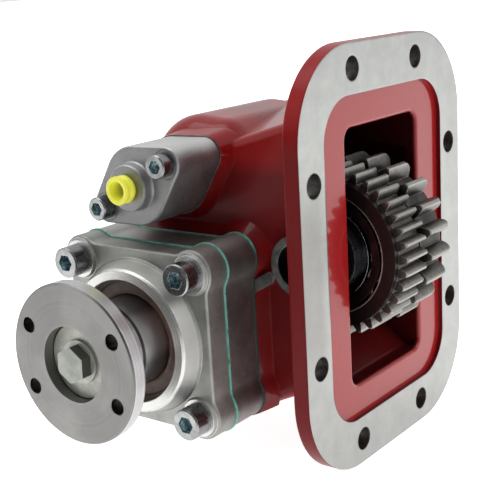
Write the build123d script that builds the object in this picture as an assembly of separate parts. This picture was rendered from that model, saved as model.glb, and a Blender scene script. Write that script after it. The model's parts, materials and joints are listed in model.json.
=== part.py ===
from build123d import *
from math import acos, atan2, cos, degrees, pi, radians, sin, sqrt, tan
import os

os.makedirs("parts", exist_ok=True)

# Power take off unit for the side opening of a truck gearbox.
# Millimetres. +X leaves the mounting face towards the gearbox, -Y is the output end, +Z is up.
# The origin is the centre of the eight-bolt mounting face, and the face lies in the plane X = 0.

# Mounting flange, an eight-bolt gearbox side opening
flange_width = 157.0
flange_height = 212.0
flange_corner = 45.0
flange_thickness = 9.0
flange_edge_round = 1.2
ledge_width = 114.6
ledge_height = 163.0
ledge_corner = 22.0
ledge_depth = 2.5
window_width = 69.0
window_height = 130.0
window_corner = 6.0
face_hole_dia = 11.6
end_hole_spacing_y = 61.2
end_hole_inset = 12.35
side_hole_inset = 11.9
side_hole_spacing_z = 88.2

# Gear train: the drive row meets the gearbox, the fine row meets the sliding gear
pitch_line_reach = 20.3
drive_module = 4.0
drive_teeth = 21
drive_addendum_factor = 0.8
drive_phase = 11.9
fine_module = 2.25
idler_teeth = 36
output_teeth = 36
idler_shift_factor = 0.5
idler_phase = 0.0
pressure_angle = 20.0
drive_pressure_angle = 25.0
drive_shift_factor = -0.3
backlash = 0.3
root_clearance_factor = 0.25
output_drop = 35.3

# Housing casting
wall = 8.0
pad_height = 6.0
window_margin = 3.5
rear_wall = 22.0
rear_boss_height = 5.0
top_at_flange = 74.0
bottom_at_flange = 72.0
output_body_r = 50.5
shift_body_r = 28.4
gear_room = 2.2
edge_round = 6.0
hump_round = 17.5
hump_rear_round = 12.0
rear_shoulder_width = 3.0
rear_shoulder_r = 27.5
arm_corner = 8.0
hump_ear_r = 18.0
hump_ear_share = 0.748
flank = 5.5
neck_flank = 5.0
neck_margin = 0.6
neck_depth = 12.0
neck_lean = (3.0, -2.0)
ear_column = 22.0
web_r = 3.0
web_z = -7.7
web_low_z = -13.6
low_line_z = -59.0
passage_r = 20.0
idler_boss_r = 20.0
window_round = 2.2
circlip_thickness = 1.5
cap_thickness = 4.0

# Idler
idler_half_width = 24.0
step_ring_width = 3.5
fine_row_width = 20.0
row_gap = 3.0
spacer_length = 6.0
taper_width = 17.25
step_ring_r = 38.5
drive_bevel = 4.0
row_gap_r = 36.5
idler_shaft_r = 15.0
idler_spigot_r = 11.15
idler_bore_clear = 0.05
idler_boss_face_r = 15.6
idler_end_recess = 8.0
cup_r = 31.0
spacer_r = 19.4
cone_rib_r = 23.4
taper_apex = 115.0
taper_outer_angle = 14.0
taper_inner_angle = 10.5
taper_roller_length = 11.0
taper_rollers = 17
ball_clear = 0.12

# Output shaft, bearings and companion flange
front_bearing_bore = 35.0
front_bearing_od = 72.0
front_bearing_width = 17.0
rear_bearing_bore = 30.0
rear_bearing_od = 62.0
rear_bearing_width = 16.0
spline_r = 19.0
spline_root_r = 17.2
spline_count = 16
spline_width = 3.6
stub_r = 14.0
hub_r = 22.5
disc_r = 40.0
disc_thickness = 8.0
hub_reach = 62.5
disc_hole_dia = 8.0
disc_hole_spacing_x = 55.2
disc_hole_spacing_z = 31.5
disc_recess_r = 19.0
disc_recess_depth = 10.0
retainer_r = 18.6
retainer_thickness = 4.0
lock_washer_r = 10.9
lock_washer_thickness = 1.6
bolt_flats = 16.0
bolt_head_height = 5.8
bolt_shank_r = 5.0
bolt_length = 28.0
bolt_corner_angle = 27.0

# Adaptor, cover and their gaskets
gasket_thickness = 0.8
gasket_proud = 0.7
adaptor_depth = 22.4
cover_spigot = 0.7
side_half = 45.6
ear_r = 12.0
ear_spacing = 73.4
ear_blend = 8.0
cover_flange_thickness = 13.4
cover_boss_height = 8.3
cover_boss_root_r = 39.8
cover_boss_tip_r = 36.3
seal_r = 32.0
seal_width = 10.0
seal_recess = 5.0
cover_screw_head_dia = 16.0
cover_screw_head_height = 10.0
cover_screw_shank_dia = 10.0
cover_screw_length = 50.0
cover_screw_clear_r = 5.5
screw_seat_r = 9.8
screw_seat_flare = 0.8
screw_seat_height = 1.8
cover_edge_round = 1.3

# Air cylinder, fork and rod
shift_axis_z = 40.8
cylinder_length = 31.5
cylinder_r = 20.05
cylinder_bore_r = 15.0
cylinder_end_wall = 5.0
cylinder_ear_r = 8.6
cylinder_ear_reach = 23.8
cylinder_ear_angle = 30.0
cylinder_gasket_thickness = 0.5
port_boss_r = 11.9
port_boss_height = 6.0
port_hole_r = 5.7
plug_rim_r = 7.1
plug_waist_r = 6.1
plug_mouth_r = 4.7
plug_reach = 7.3
cylinder_screw_head_dia = 11.9
cylinder_screw_head_height = 7.9
cylinder_screw_shank_dia = 7.94
cylinder_screw_length = 45.0
cylinder_screw_socket = 6.35
cylinder_seat_depth = 0.5
shift_travel = 22.0
piston_thickness = 8.0
piston_gap = 0.5
piston_clear = 0.1
piston_recess = 3.5
piston_head_r = 5.2
piston_hole_r = 2.75
piston_screw_r = 2.5
o_ring_wire_r = 1.15
guide_length = 8.0
rod_overlap = 6.0
spring_pocket_r = 12.5
rod_r = 6.0
slide_clear = 0.05
fork_thickness = 6.0
fork_arm_r = 33.5
fork_web = 18.0
fork_boss = 14.0
fork_pin_r = 1.5
gear_hub_r = 27.0
groove_r = 22.5
groove_width = 6.6
sliding_gear_face = 19.0
spring_wire_r = 0.9
spring_mean_r = 9.6
spring_turns = 6

# Places worked out from the sizes above
drive_pitch_r = drive_module * drive_teeth / 2
drive_tip_r = drive_pitch_r + drive_addendum_factor * drive_module
drive_root_r = drive_pitch_r - drive_module
idler_x = pitch_line_reach - drive_pitch_r
centre_distance = fine_module * (idler_teeth + output_teeth) / 2
output_x = idler_x - sqrt(centre_distance**2 - output_drop**2)
output_z = -output_drop
shift_x = output_x
idler_tip_r = fine_module * (idler_teeth / 2 + 1 + idler_shift_factor)
idler_root_r = fine_module * (idler_teeth / 2 - 1 - root_clearance_factor + idler_shift_factor)
output_tip_r = fine_module * (output_teeth / 2 + 1 - idler_shift_factor)
output_root_r = fine_module * (output_teeth / 2 - 1 - root_clearance_factor - idler_shift_factor)
idler_cavity_r = drive_tip_r + gear_room
output_cavity_r = output_tip_r + gear_room

end_hole_spacing_z = flange_height - 2 * end_hole_inset
side_hole_spacing_y = flange_width - 2 * side_hole_inset

fine_row_front = idler_half_width - step_ring_width
fine_row_rear = fine_row_width - fine_row_front
drive_row_front = fine_row_rear + row_gap
idler_boss_y = idler_half_width + spacer_length
cup_shoulder_y = idler_half_width - taper_width
taper_middle_y = -(idler_half_width - 9)

# Planes along Y, all worked out from the rough front wall of the housing
wall_y = -(window_width / 2 + window_margin + wall)
body_rear_y = -wall_y
rear_boss_y = body_rear_y + rear_boss_height
output_cavity_end_y = body_rear_y - rear_wall
pad_y = wall_y - pad_height
adaptor_back_y = pad_y - gasket_thickness
adaptor_front_y = adaptor_back_y - adaptor_depth
cover_back_y = adaptor_front_y - gasket_thickness
cover_face_y = cover_back_y - cover_flange_thickness
screw_seat_y = cover_face_y - screw_seat_height
cover_front_y = screw_seat_y - cover_boss_height
seal_front_y = cover_front_y + seal_recess
seal_back_y = seal_front_y + seal_width
front_bearing_y = adaptor_front_y + cover_spigot
front_shoulder_y = front_bearing_y + front_bearing_width
disc_front_y = front_bearing_y - hub_reach
recess_floor_y = disc_front_y + disc_recess_depth
inner_front_y = wall_y + wall
inner_rear_y = body_rear_y - wall
idler_shaft_end_y = body_rear_y - 5
rear_shoulder_y = output_cavity_end_y + rear_shoulder_width
rear_bearing_end_y = rear_shoulder_y + rear_bearing_width
cylinder_back_y = pad_y - cylinder_gasket_thickness
cylinder_front_y = cylinder_back_y - cylinder_length
cylinder_seat_y = cylinder_front_y + cylinder_seat_depth
cylinder_hole_end_y = cylinder_seat_y + cylinder_screw_length + 2
port_face_y = cylinder_front_y - port_boss_height
bore_end_y = cylinder_front_y + cylinder_end_wall
piston_front_y = bore_end_y + piston_gap
piston_back_y = piston_front_y + piston_thickness
guide_y = inner_front_y + 4
guide_end_y = guide_y + guide_length
gear_front_y = -fine_row_front - shift_travel
gear_tooth_end_y = gear_front_y + sliding_gear_face
gear_hub_end_y = gear_tooth_end_y + 16
groove_y = gear_tooth_end_y + 5
fork_y = groove_y + (groove_width - fork_thickness) / 2
fork_middle_y = fork_y + fork_thickness / 2
rear_guide_y = fork_middle_y + fork_boss / 2 + shift_travel + 1.2
rod_end_y = rear_guide_y + rod_overlap

ear_offset = ear_spacing / 2
ears = [(sx * ear_offset, sz * ear_offset) for sx, sz in ((-1, 1), (1, 1), (1, -1), (-1, -1))]
ear_angle = radians(cylinder_ear_angle)
cylinder_ears = [
    (side * cylinder_ear_reach * cos(ear_angle), side * cylinder_ear_reach * sin(ear_angle))
    for side in (1, -1)
]
hole_spacings = (
    (end_hole_spacing_y, end_hole_spacing_z),
    (side_hole_spacing_y, side_hole_spacing_z),
)


def slab(sketch, y_low, y_high):
    """A sketch drawn in X and Z, as a plate from y_low to y_high."""
    plane = Plane(origin=(0, y_high, 0), x_dir=(1, 0, 0), z_dir=(0, -1, 0))
    return extrude(plane * sketch, amount=y_high - y_low)


def bar(x, z, r, y_low, y_high):
    """A round bar along Y."""
    return slab(Pos(x, z) * Circle(r), y_low, y_high)


def tube(x, z, r_out, r_in, y_low, y_high):
    """A round tube along Y."""
    return slab(Pos(x, z) * (Circle(r_out) - Circle(r_in)), y_low, y_high)


def drafted(sketch, y_wide, y_narrow, spread):
    """A pad that narrows by spread all round from y_wide forward to y_narrow."""
    plane = Plane(origin=(0, y_wide, 0), x_dir=(1, 0, 0), z_dir=(0, -1, 0))
    height = y_wide - y_narrow
    return extrude(plane * sketch, amount=height, taper=degrees(atan2(spread, height)))


def tapered(front, y_front, rear, y_rear):
    """A pad that changes evenly from one outline to another."""
    ends = []
    for sketch, y in ((front, y_front), (rear, y_rear)):
        ends.append(Plane(origin=(0, y, 0), x_dir=(1, 0, 0), z_dir=(0, -1, 0)) * sketch)
    return loft(ends)


def turned(x, z, profile):
    """A turned piece about an axis along Y, from its (radius, y) corners."""
    points = [(x + r, y, z) for r, y in profile]
    return revolve(make_face(Polyline(*points, close=True)), axis=Axis((x, 0, z), (0, 1, 0)))


def plate(width, height, corner, x_low, x_high):
    """A rounded rectangle in Y and Z, as a plate from x_low to x_high."""
    plane = Plane(origin=(x_low, 0, 0), x_dir=(0, 1, 0), z_dir=(1, 0, 0))
    return extrude(plane * RectangleRounded(width, height, corner), amount=x_high - x_low)


def hull_of(*circles):
    """The tight outline round circles given as (x, z, radius)."""
    shape = Sketch()
    for x, z, r in circles:
        shape += Pos(x, z) * Circle(r)
    return make_hull(shape.edges())


def end_edges(solid, low=True):
    """The edges round the end face of a solid that faces -Y, or +Y."""
    return solid.faces().sort_by(Axis.Y)[0 if low else -1].edges()


def lump(*circles, front_round=edge_round, rear_round=edge_round):
    """A piece of the casting: a hull of circles over the whole depth, with rounded ends."""
    solid = slab(hull_of(*circles), wall_y, body_rear_y)
    solid = fillet(end_edges(solid), front_round)
    return fillet(end_edges(solid, False), rear_round)


def write(node, solid):
    """One node, as one file."""
    solid.label = node
    export_step(solid, f"parts/{node}.step")


def group(pieces):
    """Separate solids that share one node."""
    return Compound(children=list(pieces))


def eared_square(grow=0.0):
    """The outline of pad, adaptor, gaskets and cover: a square with a round ear at each screw."""
    side = 2 * (side_half + grow)
    outline = RectangleRounded(side, side, ear_r)
    for x, z in ears:
        outline += Pos(x, z) * Circle(ear_r + grow)
    corners = [v for v in outline.vertices() if min(abs(v.X), abs(v.Y)) < ear_offset]
    return Pos(output_x, output_z) * fillet(corners, ear_blend)


def cylinder_outline(grow=0.0):
    """The air cylinder's section: a round body drawn out to an ear at each of two screws."""
    circles = [(shift_x, shift_axis_z, cylinder_r + grow)]
    for x, z in cylinder_ears:
        circles.append((shift_x + x, shift_axis_z + z, cylinder_ear_r + grow))
    return hull_of(*circles)


def cover_ear_holes(r, y_low, y_high):
    """One round hole or bar at each cover screw."""
    return [bar(output_x + x, output_z + z, r, y_low, y_high) for x, z in ears]


def cylinder_ear_holes(r, y_low, y_high):
    """One round hole or bar at each cylinder screw."""
    return [bar(shift_x + x, shift_axis_z + z, r, y_low, y_high) for x, z in cylinder_ears]


def make_flange():
    """The mounting flange: the machined ring, the rough ledge inside it and the window."""
    flange = plate(flange_width, flange_height, flange_corner, -flange_thickness, 0)
    flange = fillet(flange.edges().group_by(Axis.X)[0], flange_edge_round)
    flange -= plate(ledge_width, ledge_height, ledge_corner, -ledge_depth, 1)
    flange -= plate(window_width, window_height, window_corner, -flange_thickness - 1, 1)
    ledge = flange.faces().filter_by(lambda f: abs(f.center().X + ledge_depth) < 0.01)[0]
    flange = fillet(ledge.inner_wires()[0].edges(), window_round)
    return flange


def make_body():
    """The outside of the casting behind the flange, before it is hollowed."""
    back = -flange_thickness
    top = (back, top_at_flange - arm_corner, arm_corner)
    low = (back, arm_corner - bottom_at_flange, arm_corner)
    share = hump_ear_share
    hump_ears = [(shift_x + share * x, shift_axis_z + share * z, hump_ear_r) for x, z in cylinder_ears]
    low_ear = (output_x + ear_offset, output_z - ear_offset, ear_r - 0.5)
    hump = (shift_x, shift_axis_z, shift_body_r)
    body = lump(hump, *hump_ears, front_round=hump_round, rear_round=hump_rear_round)
    body += lump((output_x, output_z, output_body_r), (shift_x, shift_axis_z - 4, shift_body_r - 4))
    body += lump(top, low, (idler_x, 0, idler_cavity_r + wall))
    body += lump((output_x, output_z, output_body_r - 1), (idler_x, 0, idler_cavity_r + wall - 1))
    body += lump(low_ear, (idler_x, low_line_z, arm_corner), (idler_x, -4, 50))
    crown = [(back, top_at_flange), (back, 0), (shift_x, 0), (shift_x, shift_axis_z + shift_body_r)]
    crown = slab(make_face(Polyline(*crown, close=True)), wall_y, body_rear_y)
    slope = Plane(origin=(back - 1, wall_y, top_at_flange), x_dir=(1, 0, 0.29), z_dir=(-0.274, -0.175, 0.946))
    crown = split(crown, slope, keep=Keep.BOTTOM)
    ridge = [e for e in crown.edges() if e.center().Z > 50 and e.center().Y < wall_y + 0.01]
    crown = fillet(ridge, edge_round)
    body += crown
    return split(body, Plane.YZ.offset(back + 2), keep=Keep.BOTTOM)


def make_housing():
    """The cast housing, one piece: flange, gear room, fork passage and machined pads."""
    shell = make_flange() + make_body()
    corners = [(output_x + x, output_z + z, ear_r + 1) for x, z in ears]
    back = -flange_thickness
    limit = hull_of(*corners, (back, 60, arm_corner), (idler_x, low_line_z, arm_corner))
    limit = slab(limit, pad_y, wall_y + 1)
    shell += drafted(eared_square(flank), wall_y, pad_y, flank) & limit
    shell += slab(eared_square(1), wall_y - 0.5, wall_y + ear_column)
    foot = Pos(*neck_lean) * cylinder_outline(neck_flank)
    shell += tapered(cylinder_outline(neck_margin), pad_y, foot, pad_y + neck_depth)
    shell += slab(cylinder_outline(neck_margin), pad_y + 1, wall_y + 12)
    shell += bar(idler_x, 0, idler_boss_face_r, pad_y, wall_y + 1)
    low_column = bar(output_x + ear_offset, output_z - ear_offset, ear_r + 0.5, wall_y - 0.5, body_rear_y)
    shell += fillet(end_edges(low_column, False), edge_round)
    web = hull_of((idler_x - idler_boss_face_r - 1.4, web_z, web_r), (output_x + side_half, web_low_z, web_r))
    shell += slab(web, pad_y, wall_y + 1)
    shell += bar(output_x, output_z, rear_bearing_od / 2 + wall, body_rear_y - 1, rear_boss_y)
    shell += bar(idler_x, 0, idler_shaft_r + wall, body_rear_y - 1, body_rear_y + 3)
    shell += bar(shift_x, shift_axis_z, rod_r + wall, body_rear_y - 1, body_rear_y + 4)
    room = bar(idler_x, 0, idler_cavity_r, inner_front_y, inner_rear_y)
    room = split(room, Plane.YZ.offset(-flange_thickness), keep=Keep.BOTTOM)
    half_z = window_height / 2 - window_corner
    throat = hull_of(
        (-flange_thickness, half_z, window_corner),
        (-flange_thickness, -half_z, window_corner),
        (idler_x - 26, 44, 8),
        (idler_x, 0, idler_cavity_r - 1),
    )
    throat = slab(throat, -window_width / 2, window_width / 2)
    room += split(throat, Plane.YZ.offset(-flange_thickness + 4), keep=Keep.BOTTOM)
    for low, high in ((inner_front_y - 1, -idler_boss_y), (idler_boss_y, inner_rear_y + 1)):
        room -= bar(idler_x, 0, idler_boss_r, low, high)
    room += bar(output_x, output_z, output_cavity_r, pad_y - 1, output_cavity_end_y)
    passage = hull_of((shift_x, shift_axis_z, passage_r), (shift_x, 0, passage_r))
    room += slab(passage, guide_end_y, output_cavity_end_y)
    room += bar(shift_x, shift_axis_z, passage_r, output_cavity_end_y - 1, inner_rear_y)
    room -= bar(shift_x, shift_axis_z, rod_r + 5, rear_guide_y, inner_rear_y + 1)
    shell -= room
    shell -= plate(window_width, window_height, window_corner, -flange_thickness - 3, 1)
    for dy, dz in hole_spacings:
        for sy in (-1, 1):
            for sz in (-1, 1):
                axis = Plane(origin=(1, sy * dy / 2, sz * dz / 2), z_dir=(-1, 0, 0))
                shell -= extrude(axis * Circle(face_hole_dia / 2), amount=flange_thickness + 3)
    for hole in cover_ear_holes(cover_screw_shank_dia / 2, pad_y - 1, screw_seat_y + cover_screw_length + 2):
        shell -= hole
    for hole in cylinder_ear_holes(cylinder_screw_shank_dia / 2, pad_y - 1, cylinder_hole_end_y):
        shell -= hole
    shell -= bar(output_x, output_z, rear_shoulder_r, 0, rear_shoulder_y)
    shell -= bar(output_x, output_z, rear_bearing_od / 2, rear_shoulder_y, rear_boss_y + 1)
    groove = rear_bearing_end_y + 0.05
    shell -= bar(output_x, output_z, rear_bearing_od / 2 + 2, groove, groove + circlip_thickness)
    shell -= bar(idler_x, 0, idler_spigot_r + idler_bore_clear, pad_y - 1, -idler_boss_y + 1)
    shell -= bar(idler_x, 0, idler_shaft_r + idler_bore_clear, idler_boss_y - 1, body_rear_y + 4)
    shell -= bar(idler_x, 0, idler_shaft_r + 1.6, idler_shaft_end_y, idler_shaft_end_y + circlip_thickness)
    shell -= bar(shift_x, shift_axis_z, cylinder_bore_r, pad_y - 1, wall_y)
    shell -= bar(shift_x, shift_axis_z, spring_pocket_r, wall_y - 1, guide_y)
    shell -= bar(shift_x, shift_axis_z, rod_r + slide_clear, guide_y - 1, guide_end_y + 1)
    shell -= bar(shift_x, shift_axis_z, rod_r + slide_clear, rear_guide_y - 1, body_rear_y)
    return shell


def socket_screw(head_r, head_height, shank_r, length, socket_flats):
    """A socket head screw along +Y, its seat in the plane y = 0."""
    head = turned(0, 0, [
        (0, 0), (head_r, 0), (head_r, 0.6 - head_height), (head_r - 0.6, -head_height), (0, -head_height),
    ])
    socket = RegularPolygon(socket_flats / 2, 6, major_radius=False)
    head -= slab(socket, -head_height - 1, -head_height / 2)
    shank = turned(0, 0, [(0, -0.5), (shank_r, -0.5), (shank_r, length - 1), (shank_r - 1, length), (0, length)])
    return head + shank


def involute(angle):
    return tan(angle) - angle


def gear_section(teeth, module, shift, tip_r, root_r, phase, angle=pressure_angle):
    """A spur gear outline about the origin, with one tooth centred at the phase angle in degrees."""
    slope = radians(angle)
    pitch_r = module * teeth / 2
    base_r = pitch_r * cos(slope)
    widest = (pi / 2 + 2 * shift * tan(slope)) / teeth - backlash / (4 * pitch_r) + involute(slope)

    def half_angle(r):
        return widest - involute(acos(min(1.0, base_r / r)))

    def at(r, angle):
        return (r * cos(angle), r * sin(angle))

    flank_r = max(root_r, base_r)
    middle_r = (flank_r + tip_r) / 2
    edges = []
    for tooth in range(teeth):
        mid = radians(phase) + 2 * pi * tooth / teeth
        for side in (-1, 1):
            foot = at(flank_r, mid + side * half_angle(flank_r))
            edges.append(ThreePointArc(
                foot, at(middle_r, mid + side * half_angle(middle_r)), at(tip_r, mid + side * half_angle(tip_r))
            ))
            if root_r < base_r:
                edges.append(Line(at(root_r, mid + side * half_angle(flank_r)), foot))
        edges.append(ThreePointArc(
            at(tip_r, mid - half_angle(tip_r)), at(tip_r, mid), at(tip_r, mid + half_angle(tip_r))
        ))
        gap = mid + pi / teeth
        reach = pi / teeth - half_angle(flank_r)
        edges.append(ThreePointArc(at(root_r, gap - reach), at(root_r, gap), at(root_r, gap + reach)))
    return make_face(edges)


def bevelled_row(x, z, section, tip_r, y_low, y_high, low_bevel, high_bevel):
    """A row of teeth along Y: bevelled at the low end, rounded at the high end."""
    outline = Pos(x + tip_r / 2, (y_low + y_high) / 2) * Rectangle(tip_r, y_high - y_low)
    outer = outline.vertices().sort_by(Axis.X)[-2:].sort_by(Axis.Y)
    outline = chamfer(outer[0], low_bevel)
    high = outline.vertices().filter_by(lambda v: v.Y > y_high - 0.01).sort_by(Axis.X)[-1]
    outline = fillet(high, high_bevel)
    limits = revolve(Pos(0, 0, z) * outline, axis=Axis((x, 0, z), (0, 1, 0)))
    return slab(Pos(x, z) * section, y_low, y_high) & limits


def make_idler_gear():
    """The idler: a fine row that drives the sliding gear, and a coarse row that the gearbox drives."""
    half = idler_half_width
    fine = gear_section(
        idler_teeth, fine_module, idler_shift_factor, idler_tip_r, idler_root_r, idler_phase
    )
    coarse = gear_section(
        drive_teeth, drive_module, drive_shift_factor, drive_tip_r, drive_root_r, drive_phase,
        drive_pressure_angle,
    )
    gear = bevelled_row(idler_x, 0, fine, idler_tip_r, -fine_row_front, fine_row_rear, 0.8, 0.8)
    gear += bevelled_row(idler_x, 0, coarse, drive_tip_r, drive_row_front, half, 0.6, drive_bevel)
    gear += bar(idler_x, 0, step_ring_r, -half, 1 - fine_row_front)
    gear += bar(idler_x, 0, row_gap_r, fine_row_rear - 1, drive_row_front + 1)
    gear -= bar(idler_x, 0, cup_r - 4, -half - 1, half + 1)
    gear -= bar(idler_x, 0, cup_r, -half - 1, -cup_shoulder_y)
    gear -= bar(idler_x, 0, cup_r, cup_shoulder_y, half + 1)
    return gear


def spline_section(grow=0.0):
    """The section of the splined shaft, or of the bore that slides on it."""
    shape = Circle(spline_root_r + grow)
    key = Rectangle(2 * (spline_r + 1), spline_width + 2 * grow)
    keys = Sketch()
    for turn in range(spline_count // 2):
        keys += Rot(0, 0, 360 * turn / spline_count) * key
    return shape + (keys & Circle(spline_r + grow))


def make_sliding_gear():
    """The sliding gear: teeth, a grooved hub for the fork, and the splined bore."""
    mesh = degrees(atan2(output_z, output_x - idler_x))
    lead = (idler_phase - mesh) * idler_teeth / output_teeth
    phase = mesh + 180 - lead + 180 / output_teeth
    section = gear_section(
        output_teeth, fine_module, -idler_shift_factor, output_tip_r, output_root_r, phase
    )
    gear = bevelled_row(
        output_x, output_z, section, output_tip_r, gear_front_y, gear_tooth_end_y, 0.8, 1.2
    )
    hub = bar(output_x, output_z, gear_hub_r, gear_tooth_end_y - 1, gear_hub_end_y)
    hub -= tube(output_x, output_z, gear_hub_r + 1, groove_r, groove_y, groove_y + groove_width)
    bore = Pos(output_x, output_z) * spline_section(slide_clear)
    return gear + hub - slab(bore, gear_front_y - 1, gear_hub_end_y + 1)


def make_output_shaft():
    """The output shaft: a stub for the flange, two bearing seats and the splined middle."""
    end_y = recess_floor_y + 0.8
    tail_y = rear_bearing_end_y + 3.5
    shaft = turned(output_x, output_z, [
        (0, end_y), (stub_r - 1, end_y), (stub_r, end_y + 1), (stub_r, front_bearing_y),
        (front_bearing_bore / 2, front_bearing_y), (front_bearing_bore / 2, front_shoulder_y),
        (spline_root_r, front_shoulder_y), (spline_root_r, output_cavity_end_y - 1),
        (rear_bearing_bore / 2 + 3, output_cavity_end_y - 1), (rear_bearing_bore / 2 + 3, rear_shoulder_y),
        (rear_bearing_bore / 2, rear_shoulder_y), (rear_bearing_bore / 2, tail_y - 1),
        (rear_bearing_bore / 2 - 1, tail_y), (0, tail_y),
    ])
    shaft += slab(Pos(output_x, output_z) * spline_section(), front_shoulder_y, output_cavity_end_y - 1)
    groove = rear_bearing_end_y + 0.05
    shaft -= tube(
        output_x, output_z, rear_bearing_bore / 2 + 1, rear_bearing_bore / 2 - 0.8,
        groove, groove + circlip_thickness,
    )
    return shaft - bar(output_x, output_z, bolt_shank_r, end_y - 1, end_y + 24)


def make_adaptor():
    """The bearing adaptor between housing and cover."""
    adaptor = slab(eared_square(), adaptor_front_y, adaptor_back_y)
    adaptor += bar(output_x, output_z, output_cavity_r - slide_clear, adaptor_back_y - 1, pad_y + 3)
    adaptor -= bar(output_x, output_z, front_bearing_od / 2, adaptor_front_y - 1, front_shoulder_y)
    adaptor -= bar(output_x, output_z, front_bearing_od / 2 - 3.5, front_shoulder_y - 1, pad_y + 4)
    for hole in cover_ear_holes(cover_screw_clear_r, adaptor_front_y - 1, adaptor_back_y + 1):
        adaptor -= hole
    return adaptor


def make_gasket(inner_r, y_low):
    """A flat gasket with the shared outline."""
    sheet = eared_square(gasket_proud) - Pos(output_x, output_z) * Circle(inner_r)
    for x, z in ears:
        sheet -= Pos(output_x + x, output_z + z) * Circle(cover_screw_clear_r)
    return slab(sheet, y_low, y_low + gasket_thickness)


def make_cover():
    """The front cover: eared flange, a raised seat at each screw and the tapered seal boss."""
    flange = slab(eared_square(), cover_face_y, cover_back_y)
    flange = fillet(end_edges(flange), cover_edge_round)
    for x, z in ears:
        flange += turned(output_x + x, output_z + z, [
            (0, cover_face_y + 1), (screw_seat_r + screw_seat_flare, cover_face_y + 1),
            (screw_seat_r + screw_seat_flare, cover_face_y), (screw_seat_r, screw_seat_y), (0, screw_seat_y),
        ])
    boss = turned(output_x, output_z, [
        (0, cover_face_y + 1), (cover_boss_root_r + 1, cover_face_y + 1), (cover_boss_root_r + 1, cover_face_y),
        (cover_boss_root_r, screw_seat_y), (cover_boss_tip_r + 1, cover_front_y + 1),
        (cover_boss_tip_r, cover_front_y), (0, cover_front_y),
    ])
    for hole in cover_ear_holes(screw_seat_r, screw_seat_y - 20, screw_seat_y):
        boss -= hole
    spigot_r = front_bearing_od / 2 - slide_clear
    cover = flange + boss + bar(output_x, output_z, spigot_r, cover_back_y - 1, front_bearing_y)
    cover -= bar(output_x, output_z, seal_r, cover_front_y - 1, seal_back_y)
    cover -= bar(output_x, output_z, seal_r - 2, seal_back_y - 1, front_bearing_y + 1)
    for hole in cover_ear_holes(cover_screw_clear_r, screw_seat_y - 1, cover_back_y + 1):
        cover -= hole
    return cover


def make_seal():
    """The shaft seal, with its lip running on the flange hub."""
    lip = hub_r + slide_clear
    return turned(output_x, output_z, [
        (lip, seal_front_y + 1.9), (lip + 1.2, seal_front_y + 0.6), (lip + 2.2, seal_front_y + 1.3),
        (seal_r - 2.4, seal_front_y + 1.3), (seal_r - 1.8, seal_front_y), (seal_r, seal_front_y),
        (seal_r, seal_back_y), (lip + 3, seal_back_y), (lip, seal_back_y - 3),
    ])


def make_companion_flange():
    """The companion flange: bolting disc, hub and the recess for the retaining bolt."""
    back_y = disc_front_y + disc_thickness
    piece = turned(output_x, output_z, [
        (disc_recess_r, disc_front_y), (disc_r - 0.8, disc_front_y), (disc_r, disc_front_y + 0.8),
        (disc_r, back_y - 0.8), (disc_r - 0.8, back_y), (hub_r + 2, back_y), (hub_r, back_y + 2),
        (hub_r, front_bearing_y), (stub_r + slide_clear, front_bearing_y), (stub_r + slide_clear, recess_floor_y),
        (disc_recess_r, recess_floor_y),
    ])
    for sx in (-1, 1):
        for sz in (-1, 1):
            x = output_x + sx * disc_hole_spacing_x / 2
            z = output_z + sz * disc_hole_spacing_z / 2
            piece -= bar(x, z, disc_hole_dia / 2, disc_front_y - 1, back_y + 1)
    return piece


def make_flange_bolt():
    """The hex bolt that holds the companion flange on its shaft."""
    seat_y = recess_floor_y - retainer_thickness - lock_washer_thickness
    hexagon = Rot(0, 0, bolt_corner_angle) * RegularPolygon(bolt_flats / 2, 6, major_radius=False)
    head = slab(Pos(output_x, output_z) * hexagon, seat_y - bolt_head_height, seat_y)
    corner = bolt_flats / 2 / cos(radians(30))
    head &= turned(output_x, output_z, [
        (0, seat_y - bolt_head_height), (corner - 0.5, seat_y - bolt_head_height),
        (corner + 0.3, seat_y - bolt_head_height + 0.4), (corner + 0.3, seat_y), (0, seat_y),
    ])
    return head + bar(output_x, output_z, bolt_shank_r, seat_y - 1, seat_y + bolt_length)


def ball_bearing(bore, od, y_low, width):
    """A deep groove ball bearing: outer ring, inner ring, cage and balls."""
    x, z, mid = output_x, output_z, y_low + width / 2
    ball_r = 0.3 * (od - bore) / 2
    count = int(pi * (od + bore) / 4 / (1.65 * ball_r))
    track_r = (bore + od) / 4
    race = Plane(origin=(x, mid, z), z_dir=(0, 1, 0)) * Torus(track_r, ball_r + ball_clear)
    outer = tube(x, z, od / 2, track_r + 0.68 * ball_r, y_low, y_low + width) - race
    inner = tube(x, z, track_r - 0.68 * ball_r, bore / 2, y_low, y_low + width) - race
    cage = tube(x, z, track_r + 0.2 * ball_r, track_r - 0.14 * ball_r, mid - ball_r - 1.3, mid + ball_r + 1.3)
    balls = []
    for turn in range(count):
        angle = 2 * pi * turn / count
        place = Pos(x + track_r * cos(angle), mid, z + track_r * sin(angle))
        balls.append(place * Sphere(ball_r))
        spoke = Plane(origin=(x, mid, z), z_dir=(cos(angle), 0, sin(angle)))
        cage -= extrude(spoke * Circle(ball_r + ball_clear), amount=od)
    return outer, inner, cage, group(balls)


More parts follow.
